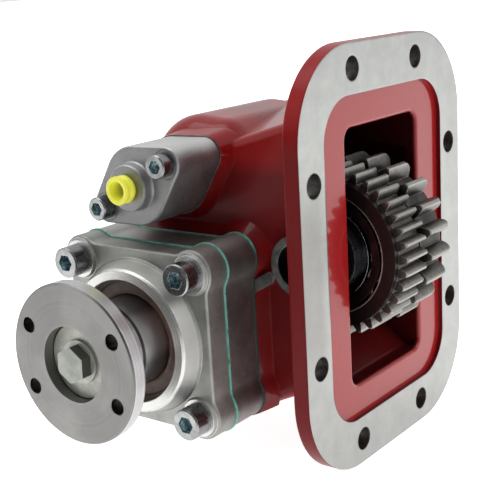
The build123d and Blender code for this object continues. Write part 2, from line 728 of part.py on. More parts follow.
def taper_bearing():
    """The front taper roller bearing of the idler: cup, cone, cage and rollers."""
    x, mid = idler_x, taper_middle_y
    half_length = taper_roller_length / 2

    def reach(angle, y):
        return (taper_apex - (y - mid)) * tan(radians(angle))

    axis_angle = (taper_outer_angle + taper_inner_angle) / 2
    cone_angle = (taper_outer_angle - taper_inner_angle) / 2
    back = -idler_half_width
    rib = mid - half_length - 1.0
    tip = back + 16
    cone = turned(x, 0, [
        (idler_shaft_r, back), (cone_rib_r, back), (cone_rib_r, rib),
        (reach(taper_inner_angle, rib) - 0.3, rib), (reach(taper_inner_angle, tip) - 0.3, tip), (idler_shaft_r, tip),
    ])
    cup_front = back + 3.3
    cup = turned(x, 0, [
        (reach(taper_outer_angle, cup_front), cup_front), (cup_r, cup_front), (cup_r, -cup_shoulder_y),
        (reach(taper_outer_angle, -cup_shoulder_y), -cup_shoulder_y),
    ])
    cage_front = mid - half_length - 2.0
    cage_back = mid + half_length + 1.6
    lip_r = reach(taper_outer_angle, cup_front) - 0.9
    cage = turned(x, 0, [
        (cone_rib_r + 1.6, cage_front - 0.9), (lip_r, cage_front - 0.9), (lip_r, cage_front),
        (reach(axis_angle, cage_front) + 0.7, cage_front),
        (reach(axis_angle, cage_back) + 0.7, cage_back), (reach(axis_angle, cage_back) - 0.5, cage_back),
        (reach(axis_angle, cage_front) - 0.5, cage_front), (cone_rib_r + 1.6, cage_front),
    ])
    slant = taper_apex / cos(radians(axis_angle))
    tilt = radians(axis_angle)
    rollers = []
    for turn in range(taper_rollers):
        angle = 2 * pi * turn / taper_rollers
        r = reach(axis_angle, mid)
        where = Plane(
            origin=(x + r * cos(angle), mid, r * sin(angle)),
            x_dir=(-sin(angle), 0, cos(angle)),
            z_dir=(-sin(tilt) * cos(angle), cos(tilt), -sin(tilt) * sin(angle)),
        )
        big = (slant + half_length) * tan(radians(cone_angle)) - ball_clear
        small = (slant - half_length) * tan(radians(cone_angle)) - ball_clear
        rollers.append(where * Cone(big, small, taper_roller_length))
        cage -= where * Cone(big + ball_clear, small + ball_clear, taper_roller_length + 0.3)
    return cup, cone, cage, rollers


def both_ends(pieces):
    """The pieces of the front bearing with their mirror images at the rear."""
    pieces = list(pieces)
    return group(pieces + [mirror(p, about=Plane.XZ) for p in pieces])


def make_cylinder():
    """The air cylinder: body, port boss and bore."""
    body = slab(cylinder_outline(), cylinder_front_y, cylinder_back_y)
    body = fillet(end_edges(body), 1.2)
    body += turned(shift_x, shift_axis_z, [
        (0, cylinder_front_y + 1), (port_boss_r + 0.6, cylinder_front_y + 1),
        (port_boss_r + 0.6, cylinder_front_y), (port_boss_r, cylinder_front_y - 1),
        (port_boss_r - 0.2, port_face_y + 0.6), (port_boss_r - 0.8, port_face_y), (0, port_face_y),
    ])
    body -= bar(shift_x, shift_axis_z, cylinder_bore_r, bore_end_y, cylinder_back_y + 1)
    body -= bar(shift_x, shift_axis_z, port_hole_r, port_face_y - 1, bore_end_y - 1.6)
    body -= bar(shift_x, shift_axis_z, 2.5, port_face_y, bore_end_y + 1)
    seat_r = cylinder_screw_head_dia / 2 + 1.4
    for spot in cylinder_ear_holes(seat_r, cylinder_front_y - 9, cylinder_front_y + cylinder_seat_depth):
        body -= spot
    for hole in cylinder_ear_holes(cylinder_screw_shank_dia / 2 + 0.3, cylinder_front_y - 1, cylinder_back_y + 1):
        body -= hole
    return body


def make_cylinder_gasket():
    sheet = cylinder_outline(-0.1) - Pos(shift_x, shift_axis_z) * Circle(cylinder_bore_r)
    for x, z in cylinder_ears:
        sheet -= Pos(shift_x + x, shift_axis_z + z) * Circle(cylinder_screw_shank_dia / 2 + 0.3)
    return slab(sheet, cylinder_back_y, pad_y)


def make_port_plug():
    """The soft plug in the air port, a hollow cup with a flared rim."""
    front = port_face_y - plug_reach
    return turned(shift_x, shift_axis_z, [
        (plug_mouth_r, front + 0.2), (plug_rim_r - 0.7, front), (plug_rim_r, front + 0.5),
        (plug_rim_r, front + 1.6), (plug_waist_r, front + 2.8), (plug_waist_r, front + 3.6),
        (plug_rim_r - 0.1, front + 4.8), (plug_rim_r - 0.1, front + 6.0), (plug_waist_r, port_face_y),
        (port_hole_r, port_face_y), (port_hole_r - 0.2, bore_end_y - 2), (0, bore_end_y - 2),
        (0, bore_end_y - 4), (plug_mouth_r - 1.6, bore_end_y - 4), (plug_mouth_r - 1.2, front + 5.0),
    ])


def make_piston():
    piston = turned(shift_x, shift_axis_z, [
        (piston_hole_r, piston_front_y + piston_recess), (piston_head_r, piston_front_y + piston_recess),
        (piston_head_r, piston_front_y), (cylinder_bore_r - piston_clear, piston_front_y),
        (cylinder_bore_r - piston_clear, piston_back_y), (rod_r, piston_back_y),
        (rod_r, piston_back_y - 2), (piston_hole_r, piston_back_y - 2),
    ])
    middle = piston_front_y + piston_thickness / 2
    ring_out = cylinder_bore_r - piston_clear + 0.03
    groove_in = ring_out - 2 * o_ring_wire_r
    return piston - tube(
        shift_x, shift_axis_z, cylinder_bore_r, groove_in, middle - o_ring_wire_r - 0.2, middle + o_ring_wire_r + 0.2
    )


def make_o_ring():
    centre = Plane(origin=(shift_x, piston_front_y + piston_thickness / 2, shift_axis_z), z_dir=(0, 1, 0))
    ring_out = cylinder_bore_r - piston_clear + 0.03
    return centre * Torus(ring_out - o_ring_wire_r, o_ring_wire_r)


def make_spring():
    """The return spring between the piston and its pocket in the housing."""
    low = piston_back_y + spring_wire_r
    high = guide_y - spring_wire_r
    path = Helix(pitch=(high - low) / spring_turns, height=high - low, radius=spring_mean_r)
    section = Plane(origin=path @ 0, z_dir=path % 0) * Circle(spring_wire_r)
    coil = sweep(section, path=path)
    frame = Plane(origin=(shift_x, low, shift_axis_z), x_dir=(1, 0, 0), z_dir=(0, 1, 0))
    return frame * coil


def make_fork():
    """The shift fork: a yoke in the gear's groove, with a boss clamped on the rod."""
    yoke = Circle(fork_arm_r) - Circle(groove_r + 0.3)
    yoke &= Pos(0, fork_arm_r / 2 - 1) * Rectangle(2 * fork_arm_r + 2, fork_arm_r + 6)
    yoke = Pos(output_x, output_z) * yoke
    low = output_z + groove_r + 4
    web = Pos(shift_x, (low + shift_axis_z) / 2) * Rectangle(fork_web, shift_axis_z - low)
    plate_part = slab(yoke + web, fork_y, fork_y + fork_thickness)
    middle = fork_middle_y
    boss = bar(shift_x, shift_axis_z, rod_r + 5.5, middle - fork_boss / 2, middle + fork_boss / 2)
    fork = plate_part + boss
    fork -= bar(shift_x, shift_axis_z, rod_r, middle - fork_boss, middle + fork_boss)
    pin = Plane(origin=(shift_x, middle + 4, shift_axis_z), z_dir=(0, 0, 1))
    return fork - extrude(pin * Circle(fork_pin_r), amount=40, both=True)


def make_fork_pin():
    axis = Plane(origin=(shift_x, fork_middle_y + 4, shift_axis_z), z_dir=(0, 0, 1))
    return extrude(axis * Circle(fork_pin_r), amount=rod_r + 5.2, both=True)


def make_rod():
    """The shift rod, drilled for the piston screw and for the fork pin."""
    front = piston_back_y - 2
    piece = turned(shift_x, shift_axis_z, [
        (0, front), (rod_r, front), (rod_r, rod_end_y - 1), (rod_r - 1, rod_end_y), (0, rod_end_y),
    ])
    piece -= bar(shift_x, shift_axis_z, piston_screw_r, front - 1, front + 11)
    axis = Plane(origin=(shift_x, fork_middle_y + 4, shift_axis_z), z_dir=(0, 0, 1))
    return piece - extrude(axis * Circle(fork_pin_r), amount=rod_r + 2, both=True)


def circlip(x, z, r_in, r_out, y_low, gap_angle=90.0):
    """A snap ring, open on one side."""
    ring = Circle(r_out) - Circle(r_in)
    wedge = Pos(r_out, 0) * Rectangle(2 * r_out, r_in * 0.5)
    ring = Rot(0, 0, gap_angle) * (ring - wedge)
    return slab(Pos(x, z) * ring, y_low, y_low + circlip_thickness)


front_outer, front_inner, front_cage, front_balls = ball_bearing(
    front_bearing_bore, front_bearing_od, front_bearing_y, front_bearing_width
)
rear_outer, rear_inner, rear_cage, rear_balls = ball_bearing(
    rear_bearing_bore, rear_bearing_od, rear_shoulder_y, rear_bearing_width
)
cup, cone, taper_cage, taper_rolls = taper_bearing()
groove_gap = rear_bearing_end_y + 0.05
cover_screw = socket_screw(
    cover_screw_head_dia / 2, cover_screw_head_height, cover_screw_shank_dia / 2, cover_screw_length, 8
)
cylinder_screw = socket_screw(
    cylinder_screw_head_dia / 2, cylinder_screw_head_height, cylinder_screw_shank_dia / 2,
    cylinder_screw_length, cylinder_screw_socket,
)
washer_y = recess_floor_y - retainer_thickness

write("housing", make_housing())
write("adaptor_gasket", make_gasket(output_cavity_r, adaptor_back_y))
write("adaptor_plate", make_adaptor())
write("cover_gasket", make_gasket(front_bearing_od / 2, cover_back_y))
write("front_cover", make_cover())
write("cover_screws", group(
    Pos(output_x + x, screw_seat_y, output_z + z) * cover_screw for x, z in ears
))
write("shaft_seal", make_seal())
write("companion_flange", make_companion_flange())
write("retaining_washer", tube(
    output_x, output_z, retainer_r, bolt_shank_r + 0.4, washer_y, recess_floor_y
))
write("lock_washer", tube(
    output_x, output_z, lock_washer_r, bolt_shank_r + 0.2, washer_y - lock_washer_thickness, washer_y
))
write("flange_bolt", make_flange_bolt())
write("output_shaft", make_output_shaft())
write("front_bearing_outer_ring", front_outer)
write("front_bearing_inner_ring", front_inner)
write("front_bearing_cage", front_cage)
write("front_bearing_balls", front_balls)
write("rear_bearing_outer_ring", rear_outer)
write("rear_bearing_inner_ring", rear_inner)
write("rear_bearing_cage", rear_cage)
write("rear_bearing_balls", rear_balls)
write("rear_bearing_circlip", circlip(
    output_x, output_z, rear_bearing_od / 2 - 3, rear_bearing_od / 2 + 1.8, groove_gap
))
write("shaft_circlip", circlip(
    output_x, output_z, rear_bearing_bore / 2 - 0.7, rear_bearing_bore / 2 + 3, groove_gap
))
write("rear_cap", bar(
    output_x, output_z, rear_bearing_od / 2, rear_boss_y - cap_thickness, rear_boss_y
))
write("sliding_gear", make_sliding_gear())
write("shift_fork", make_fork())
write("fork_pin", make_fork_pin())
write("shift_rod", make_rod())
write("piston", make_piston())
write("piston_o_ring", make_o_ring())
write("piston_screw", Pos(shift_x, piston_front_y + piston_recess, shift_axis_z) * socket_screw(
    piston_head_r - 0.4, piston_recess - 0.3, piston_screw_r, 11, 4
))
write("return_spring", make_spring())
write("air_cylinder", make_cylinder())
write("cylinder_gasket", make_cylinder_gasket())
write("cylinder_screws", group(
    Pos(shift_x + x, cylinder_seat_y, shift_axis_z + z) * cylinder_screw for x, z in cylinder_ears
))
write("port_plug", make_port_plug())
write("idler_gear", make_idler_gear())
write("idler_shaft", turned(idler_x, 0, [
    (0, pad_y + idler_end_recess), (idler_spigot_r - 0.8, pad_y + idler_end_recess),
    (idler_spigot_r, pad_y + idler_end_recess + 0.8), (idler_spigot_r, -idler_boss_y),
    (idler_shaft_r, -idler_boss_y), (idler_shaft_r, idler_shaft_end_y), (0, idler_shaft_end_y),
]))
write("idler_shaft_circlip", circlip(
    idler_x, 0, idler_shaft_r - 3, idler_shaft_r + 1.5, idler_shaft_end_y
))
write("idler_bearing_cups", both_ends([cup]))
write("idler_bearing_cones", both_ends([cone]))
write("idler_bearing_cages", both_ends([taper_cage]))
write("idler_bearing_rollers", both_ends(taper_rolls))
write("idler_spacers", both_ends([
    tube(idler_x, 0, spacer_r, idler_shaft_r, -idler_boss_y, -idler_half_width)
]))
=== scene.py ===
import bpy
import json
import math
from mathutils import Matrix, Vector


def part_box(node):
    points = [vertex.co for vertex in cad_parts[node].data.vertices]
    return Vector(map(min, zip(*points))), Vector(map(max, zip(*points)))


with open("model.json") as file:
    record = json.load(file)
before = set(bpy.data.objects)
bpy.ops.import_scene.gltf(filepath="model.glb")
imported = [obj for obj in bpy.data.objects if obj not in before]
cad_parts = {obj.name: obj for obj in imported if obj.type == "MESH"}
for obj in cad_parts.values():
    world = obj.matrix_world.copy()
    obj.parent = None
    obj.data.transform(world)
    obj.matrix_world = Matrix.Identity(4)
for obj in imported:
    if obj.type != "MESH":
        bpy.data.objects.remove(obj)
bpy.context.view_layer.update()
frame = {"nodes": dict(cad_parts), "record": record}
nodes = frame["nodes"]
MM = 0.001
MM_PER_METRE = 1000


# Places on the part in millimetres, from the frame

mounts = {mount["name"]: mount for mount in frame["record"]["mounts"]}


def half_spacing(mount):
    """How far the holes of a mount stand from its centre, across and along."""
    dims = mounts[mount]["dims"]
    return dims["spacing_x_mm"] / 2, dims["spacing_y_mm"] / 2


def limits(node):
    """Lowest and highest corner of a node."""
    return [Vector(corner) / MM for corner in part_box(node)]


def centre_of(node):
    """Middle of a node's box."""
    low, high = limits(node)
    return (low + high) / 2


def front_of(node):
    """The y of a node's front; the output shaft comes out towards -Y."""
    return limits(node)[0].y


shaft_axis = centre_of("front_cover")
idler_axis = centre_of("idler_gear")
cylinder_axis = centre_of("port_plug")
pad_y = limits("cylinder_gasket")[1].y
rear_y = limits("rear_cap")[1].y
cover_front = front_of("front_cover")
disc_front = front_of("companion_flange")
gear_front = front_of("idler_gear")
plug_front = front_of("port_plug")


# Sizes of what the finishes tell apart within a node, in millimetres; each lies at its edge or just past it

FLANGE_BACK, LEDGE, ROOM_BACK = -10, -3.5, -66
FLANGE_HOLE_R = 5.9
WINDOW_HALF_Y, WINDOW_HALF_Z = 38.4, 65.2
IDLER_SHAFT_RECESS_R, IDLER_SHAFT_RECESS_BACK = 11.3, -29
COVER_BOSS_R, COVER_BOSS_LENGTH = 40.2, 8.3
SEAL_BORE_R = 32.0
SEAL_RIB = (29.4, 30.4)
COVER_SCREW_HEAD, COVER_SCREW_SOCKET_R, COVER_SCREW_SEAT_R = 16, 4.6, 10.6
CYLINDER_SCREW_HEAD, CYLINDER_SCREW_SOCKET_R = 11.9, 3.67
DISC_RECESS_R = 19.2
DISC_HOLE_R = 4.1
HUB_START, HUB_GROOVE = 9.5, (25.4, 27.0)
PLUG_BORE_R = 4.8
GEAR_BORE_R, GEAR_STEP = 31.4, 3.4
COARSE_ROW_START = 0.5
FINE_ROW_CREST_R, COARSE_ROW_CREST_R = 42.6, 44.6


# Node trees written as Python expressions

class Value:
    """A socket in a node tree, with the operators that its maths needs."""

    def __init__(self, graph, socket):
        self.graph = graph
        self.socket = socket

    def math(self, operation, *inputs):
        return self.graph.node("ShaderNodeMath", {"operation": operation}, list(inputs))

    def __add__(self, other):
        return self.math("ADD", self, other)

    __radd__ = __add__

    def __sub__(self, other):
        return self.math("SUBTRACT", self, other)

    def __rsub__(self, other):
        return self.math("SUBTRACT", other, self)

    def __mul__(self, other):
        return self.math("MULTIPLY", self, other)

    __rmul__ = __mul__

    def __truediv__(self, other):
        return self.math("DIVIDE", self, other)

    def __pow__(self, other):
        return self.math("POWER", self, other)

    def __abs__(self):
        return self.math("ABSOLUTE", self)

    def most(self, other):
        return self.math("MAXIMUM", self, other)

    def least(self, other):
        return self.math("MINIMUM", self, other)

    def rise(self, low, high):
        """0 below low, 1 above high, smooth between them."""
        return self.graph.node(
            "ShaderNodeMapRange", {"interpolation_type": "SMOOTHSTEP"},
            {"Value": self, "From Min": low, "From Max": high},
        )

    def fall(self, low, high):
        """1 below low, 0 above high."""
        return 1 - self.rise(low, high)

    def between(self, low, high, soft=0.2):
        """1 from low to high, with a soft border outside them."""
        return self.rise(low - soft, low) * self.fall(high, high + soft)

    def spread(self):
        """The middle of a noise's range, stretched to run from 0 to 1."""
        return self.rise(0.3, 0.7)


class Graph:
    """A node tree with one method that adds any node."""

    def __init__(self, tree):
        self.tree = tree

    def node(self, kind, settings=None, inputs=None, out=0):
        """Adds a node: settings first, then the values or links of its sockets; gives one output."""
        made = self.tree.nodes.new(kind)
        for key, setting in (settings or {}).items():
            setattr(made, key, setting)
        pairs = enumerate(inputs) if isinstance(inputs, list) else (inputs or {}).items()
        for key, value in pairs:
            self.join(made.inputs[key], value)
        return Value(self, made.outputs[out])

    def join(self, socket, value):
        """Links a value to a socket, or sets the socket to a plain number or colour."""
        if isinstance(value, Value):
            self.tree.links.new(value.socket, socket)
        elif socket.type == "RGBA" and len(value) == 3:
            socket.default_value = (*value, 1)
        else:
            socket.default_value = value

    def mix(self, factor, a, b):
        """Colour a where the factor is 0, b where it is 1."""
        return self.node("ShaderNodeMix", {"data_type": "RGBA"}, {0: factor, 6: a, 7: b}, out=2)

    def blend(self, factor, a, b):
        """Number a where the factor is 0, b where it is 1."""
        return self.node("ShaderNodeMix", {"data_type": "FLOAT"}, {0: factor, 2: a, 3: b})

    def dot(self, a, b):
        return self.node("ShaderNodeVectorMath", {"operation": "DOT_PRODUCT"}, [a, b], out="Value")


class Finish(Graph):
    """A procedural material on a principled shader, with places on the part in millimetres."""

    def __init__(self, name):
        self.material = bpy.data.materials.new(name)
        self.material.use_nodes = True
        super().__init__(self.material.node_tree)
        self.shader = self.tree.nodes["Principled BSDF"]
        self.place = self.node("ShaderNodeTexCoord", out="Object")
        self.facing = self.node("ShaderNodeNewGeometry", out="Normal")
        self.x, self.y, self.z = [self.part(self.place, axis) * MM_PER_METRE for axis in "XYZ"]
        self.face_x, self.face_y, self.face_z = [self.part(self.facing, axis) for axis in "XYZ"]

    def part(self, vector, axis):
        """A vector's share along one axis."""
        return self.node("ShaderNodeSeparateXYZ", None, [vector], out=axis)

    def distance(self, across, along, centre_across, centre_along):
        """Distance in a plane from a centre."""
        return ((across - centre_across) ** 2 + (along - centre_along) ** 2) ** 0.5

    def radius(self, axis):
        """Distance from an axis along Y."""
        return self.distance(self.x, self.z, axis.x, axis.z)

    def sides(self):
        """1 on walls that run along Y, 0 on faces across it."""
        return abs(self.face_y).fall(0.3, 0.6)

    def noise(self, scale, detail, roughness=0.55):
        """Clouds or grain, finer with a higher scale."""
        return self.node("ShaderNodeTexNoise", None, {
            "Vector": self.place, "Scale": scale, "Detail": detail, "Roughness": roughness,
        })

    def pits(self, scale, low, high):
        """Small round specks, 1 inside each."""
        spots = self.node("ShaderNodeTexVoronoi", None, {"Vector": self.place, "Scale": scale})
        return spots.fall(low, high)

    def turning(self, radius, density, seed=0.0):
        """Fine rings that a lathe leaves, as a height from 0 to 1."""
        return self.node(
            "ShaderNodeTexNoise", {"noise_dimensions": "1D"},
            {"W": radius * density + seed, "Scale": 1.0, "Detail": 3, "Roughness": 0.7},
        )

    def bump(self, height, distance, normal=None):
        """Relief of a given depth in millimetres."""
        inputs = {"Height": height, "Strength": 1.0, "Distance": distance * MM}
        if normal:
            inputs["Normal"] = normal
        return self.node("ShaderNodeBump", None, inputs)

    def rounded(self, radius):
        """The normal, rolled over at every edge."""
        return self.node("ShaderNodeBevel", {"samples": 6}, {"Radius": radius * MM})

    def edges(self, radius, low, high):
        """1 on edges, 0 on open faces."""
        return (1 - self.dot(self.rounded(radius), self.facing)).rise(low, high)

    def worn(self, colour, bright, size, share):
        """A colour that is rubbed bright along the edges."""
        return self.mix(self.edges(size, 0.05, 0.3) * share, colour, bright)

    def set(self, **sockets):
        """Feeds sockets of the shader; an underscore stands for a space in their names."""
        for name, value in sockets.items():
            self.join(self.shader.inputs[name.replace("_", " ")], value)
        return self


def paint(finish, *names):
    """Gives nodes of the frame their finish."""
    for name in names:
        for slot in nodes[name].material_slots:
            slot.material = finish.material


# Finishes

def red_tone(f, clouds, edge, flange_side, inside):
    """The red: painted shade in the window and on the front wall, painted light and shade down the flange
    side, painted highlights on hump, ledge and edges; gritty on top.
    """
    red = f.mix(clouds.spread(), (0.17, 0.006, 0.007), (0.25, 0.009, 0.010))
    # Painted shade: the wall facing -Y is darkened.
    front_wall = f.face_y.fall(-0.95, -0.75)
    red = f.mix(front_wall * 0.6, red, (0.11, 0.006, 0.007))
    # Painted light and shade: the flange side runs from shaded dark red low down to lit red at the top.
    side_red = f.mix(f.z.rise(55, 85), (0.15, 0.004, 0.005), (0.32, 0.010, 0.011))
    red = f.mix(flange_side, red, side_red)
    # Painted highlight: the top of the hump is a lighter red.
    hump = f.y.fall(-24, -8) * f.z.rise(40, 52) * f.x.fall(-34, -22)
    red = f.mix(hump * 0.7, red, (0.34, 0.008, 0.008))
    # Painted highlight: a lighter red along the edges.
    red = f.mix(edge * 0.5 * (1 - flange_side), red, (0.44, 0.020, 0.020))
    # Painted highlight: the ledge facing +X is a lighter red.
    on_ledge = f.x.rise(LEDGE, LEDGE + 0.5) * f.face_x.rise(0.5, 0.9)
    red = f.mix(on_ledge * 0.9, red, (0.31, 0.008, 0.009))
    specks = f.pits(260, 0.10, 0.22) * f.noise(110, 3).rise(0.5, 0.62) * f.z.rise(58, 70)
    red = f.mix(on_ledge * specks * 0.8, red, (0.03, 0.008, 0.008))
    # Painted shade: the inside of the window is darkened almost to black, more so low down.
    red = f.mix(inside * f.z.rise(-60, 20) * 0.16 + inside * 0.7, red, (0.018, 0.003, 0.003))
    on_top = f.face_z.rise(0.55, 0.85) * f.x.fall(-12, FLANGE_BACK)
    front_top = f.y.fall(-8, 14)
    grit = f.noise(330, 6, 0.75).rise(0.55, 0.68) * on_top * front_top * f.noise(60, 3).rise(0.42, 0.6)
    return f.mix(grit * 0.75, red, (0.045, 0.020, 0.018))


def ring_tone(f, mottle, fine):
    """The mounting ring: mottled bare iron with a painted dark reflection at the output end, and a few pits.
    """
    bare = f.mix(mottle.rise(0.3, 0.75), (0.325, 0.33, 0.318), (0.385, 0.39, 0.375))
    # Painted reflection: a dark smear on the ring by the gear, at the output end.
    dark_reflection = abs(f.z).fall(20, 62) * f.y.fall(-66, -56)
    bare = f.mix(dark_reflection * 0.45, bare, (0.16, 0.145, 0.135))
    bare = f.mix(fine.rise(0.62, 0.8) * 0.35, bare, (0.34, 0.34, 0.32))
    return f.mix(f.pits(160, 0.03, 0.06) * 0.5, bare, (0.12, 0.11, 0.10))


def red_casting():
    """Gloss red paint on cast iron; mounting ring, pads, rear face, holes and one bore are bare, the holes
    and the bore darkened with painted shade.
    """
    f = Finish("red_casting")
    to_end_hole = f.distance(abs(f.y), abs(f.z), *half_spacing("gearbox_face_end_bolts"))
    to_side_hole = f.distance(abs(f.y), abs(f.z), *half_spacing("gearbox_face_side_bolts"))
    to_hole = to_end_hole.least(to_side_hole)
    in_flange = f.x.rise(FLANGE_BACK, FLANGE_BACK + 1)
    hole_wall = to_hole.fall(FLANGE_HOLE_R, FLANGE_HOLE_R + 0.2) * in_flange
    ring = f.x.rise(-0.4, -0.2) * f.face_x.rise(0.6, 0.9)
    pads = f.face_y.fall(-0.95, -0.8) * f.y.fall(pad_y + 0.2, pad_y + 0.5) * f.x.fall(-12, FLANGE_BACK)
    rear = f.face_y.rise(0.9, 0.98) * f.y.rise(rear_y - 3.5, rear_y - 3) * f.x.fall(-16, -14)
    in_recess = f.radius(idler_axis).fall(IDLER_SHAFT_RECESS_R, IDLER_SHAFT_RECESS_R + 0.3)
    bore = in_recess * f.y.fall(IDLER_SHAFT_RECESS_BACK, IDLER_SHAFT_RECESS_BACK + 1)
    window_y = abs(f.y).fall(WINDOW_HALF_Y, WINDOW_HALF_Y + 0.4)
    window_z = abs(f.z).fall(WINDOW_HALF_Z, WINDOW_HALF_Z + 0.4)
    depth = f.x.fall(LEDGE - 1.5, LEDGE + 0.5) * f.x.rise(ROOM_BACK, ROOM_BACK + 2)
    outer_top = f.face_z.rise(0.1, 0.3) * f.z.rise(30, 34)
    inside = window_y * window_z * depth * (1 - outer_top)
    clouds = f.noise(28, 3)
    orange_peel = f.noise(420, 2, 0.5)
    cast = f.noise(210, 5, 0.6)
    edge = f.edges(1.6, 0.03, 0.35)
    flange_side = in_flange * f.face_x.fall(0.3, 0.6)
    red = red_tone(f, clouds, edge, flange_side, inside)

    mottle = f.noise(75, 6, 0.7)
    fine = f.noise(900, 3, 0.7)
    bare = ring_tone(f, mottle, fine)
    iron = f.mix(f.noise(300, 4).rise(0.35, 0.7), (0.10, 0.105, 0.10), (0.19, 0.195, 0.185))
    machined = pads.most(rear)
    colour = f.mix(ring, red, bare)
    colour = f.mix(machined, colour, iron)
    # Painted shade: the bolt holes' walls are darker than the bare iron of the pads.
    colour = f.mix(hole_wall, colour, f.mix(f.noise(500, 3), (0.03, 0.03, 0.03), (0.13, 0.12, 0.11)))
    # Painted shade: the idler shaft bore is near black.
    colour = f.mix(bore, colour, (0.02, 0.022, 0.021))

    metal = ring.most(machined).most(hole_wall).most(bore)
    paint_rough = f.blend(clouds, 0.24, 0.36)
    metal_rough = f.blend(ring, f.blend(mottle, 0.38, 0.5), f.blend(fine, 0.28, 0.36))
    gloss = 0.1 + 0.58 * f.face_x.rise(0.4, 0.9) + 0.28 * f.face_z.rise(0.3, 0.9) + 0.2 * edge
    gloss = gloss * (1 - flange_side * 0.8)
    height = f.blend(metal, cast * 0.7 + orange_peel * 0.3, fine * 0.15 + 0.4)
    return f.set(
        Base_Color=colour, Roughness=f.blend(metal, paint_rough, metal_rough),
        Metallic=metal * f.blend(ring, 0.75, 1.0),
        Coat_Weight=(1 - metal) * (1 - inside) * gloss, Coat_Roughness=0.08, Specular_IOR_Level=0.12,
        Normal=f.bump(height, 0.16, f.rounded(1.4)),
    )


def cast_alloy(name, dark, light, worn, rough=(0.42, 0.56), pitted=0.0, edge_size=0.8):
    """Cast aluminium: sandy skin, cloudy tone and edges rubbed bright.

    Gives the finish, its colour, where its edges are, the skin's height and the roughness.
    """
    f = Finish(name)
    skin = f.noise(650, 5, 0.65)
    clouds = f.noise(55, 4, 0.6)
    edge = f.edges(edge_size, 0.03, 0.25)
    colour = f.mix(clouds.spread(), dark, light)
    colour = f.mix(skin.rise(0.55, 0.75) * 0.3, colour, worn)
    colour = f.mix(edge * f.noise(240, 3).rise(0.25, 0.5), colour, worn)
    if pitted:
        spots = f.pits(420, 0.12, 0.2) * f.noise(90, 3).rise(0.5, 0.62)
        colour = f.mix(spots * pitted, colour, (0.02, 0.02, 0.02))
    return f, colour, edge, skin, f.blend(clouds, *rough)


def cover_alloy():
    """The front cover: light cast skin, a lighter boss, and seal rim, bore and screw seats turned bright."""
    f, colour, edge, skin, rough = cast_alloy(
        "cover_alloy", (0.27, 0.27, 0.255), (0.40, 0.40, 0.38), (0.78, 0.78, 0.75)
    )
    radius = f.radius(shaft_axis)
    rim = f.y.fall(cover_front + 1.1, cover_front + 1.5)
    seal_bore = radius.fall(SEAL_BORE_R, SEAL_BORE_R + 0.4)
    side_x, side_z = abs(f.x - shaft_axis.x), abs(f.z - shaft_axis.z)
    screw_low, screw_high = limits("cover_screws")
    screw_reach = (screw_high.x - screw_low.x - COVER_SCREW_HEAD) / 2
    to_screw = f.distance(side_x, side_z, screw_reach, screw_reach)
    seat = to_screw.fall(COVER_SCREW_SEAT_R, COVER_SCREW_SEAT_R + 0.4) * f.face_y.fall(-0.9, -0.5)
    turned = rim.most(seal_bore).most(seat)
    boss_end = cover_front + COVER_BOSS_LENGTH
    boss = radius.fall(COVER_BOSS_R, COVER_BOSS_R + 0.6) * f.y.fall(boss_end, boss_end + 0.7)
    colour = f.mix(boss * 0.6, colour, (0.62, 0.62, 0.60))
    rings = f.turning(radius * rim + to_screw * (1 - rim), 6)
    bright = f.mix(rings, (0.50, 0.50, 0.48), (0.82, 0.82, 0.80))
    colour = f.mix(turned, colour, bright)
    smooth = edge.most(turned)
    return f.set(
        Base_Color=colour, Metallic=0.8, Roughness=f.blend(smooth, rough, 0.26),
        Normal=f.bump(f.blend(turned, skin, rings * 0.25), 0.12, f.rounded(0.7)),
    )


def adaptor_alloy():
    """The adaptor plate: darker cast alloy, with a painted highlight where it faces up."""
    f, colour, edge, skin, rough = cast_alloy(
        "adaptor_alloy", (0.20, 0.195, 0.19), (0.32, 0.31, 0.305), (0.66, 0.66, 0.64), edge_size=0.6
    )
    # Painted highlight on the faces that look up.
    colour = f.mix(f.face_z.rise(0.6, 0.9) * 0.6, colour, (0.50, 0.50, 0.48))
    return f.set(
        Base_Color=colour, Metallic=0.75, Roughness=f.blend(edge, rough, 0.3),
        Normal=f.bump(skin, 0.14, f.rounded(0.5)),
    )


def cylinder_alloy():
    """The air cylinder: die casting with patches of small pits, a painted highlight on top and painted shade
    in front.
    """
    f, colour, _, skin, rough = cast_alloy(
        "cylinder_alloy", (0.27, 0.27, 0.275), (0.42, 0.42, 0.425), (0.70, 0.70, 0.71),
        rough=(0.36, 0.5), pitted=0.8, edge_size=1.0,
    )
    # Painted highlight on the top faces.
    colour = f.mix(f.face_z.rise(0.5, 0.9) * 0.7, colour, (0.68, 0.68, 0.67))
    # Painted shade on the faces towards -Y.
    colour = f.mix(f.face_y.fall(-0.97, -0.85) * 0.6, colour, (0.20, 0.20, 0.205))
    return f.set(
        Base_Color=colour, Metallic=0.75, Roughness=rough,
        Normal=f.bump(skin, 0.12, f.rounded(1.2)),
    )


def gasket_green(name, darkening=0.0):
    """Pressed fibre with dark patches; the second argument darkens the side towards the gearbox below its top
    corner.
    """
    f = Finish(name)
    fibre = f.noise(700, 5, 0.7)
    gaps = f.noise(110, 4, 0.6).rise(0.56, 0.66)
    colour = f.mix(fibre.spread(), (0.12, 0.46, 0.36), (0.32, 0.74, 0.62))
    # Darker on the side towards the gearbox, below the top corner.
    gearbox_side = f.x.rise(shaft_axis.x + 41, shaft_axis.x + 45) * f.z.fall(shaft_axis.z + 38, shaft_axis.z + 46)
    colour = f.mix(gaps * 0.7, colour, (0.03, 0.14, 0.11))
    colour = f.mix(gearbox_side * darkening, colour, (0.035, 0.030, 0.028))
    return f.set(Base_Color=colour, Roughness=f.blend(fibre, 0.6, 0.85), Normal=f.bump(fibre, 0.2))


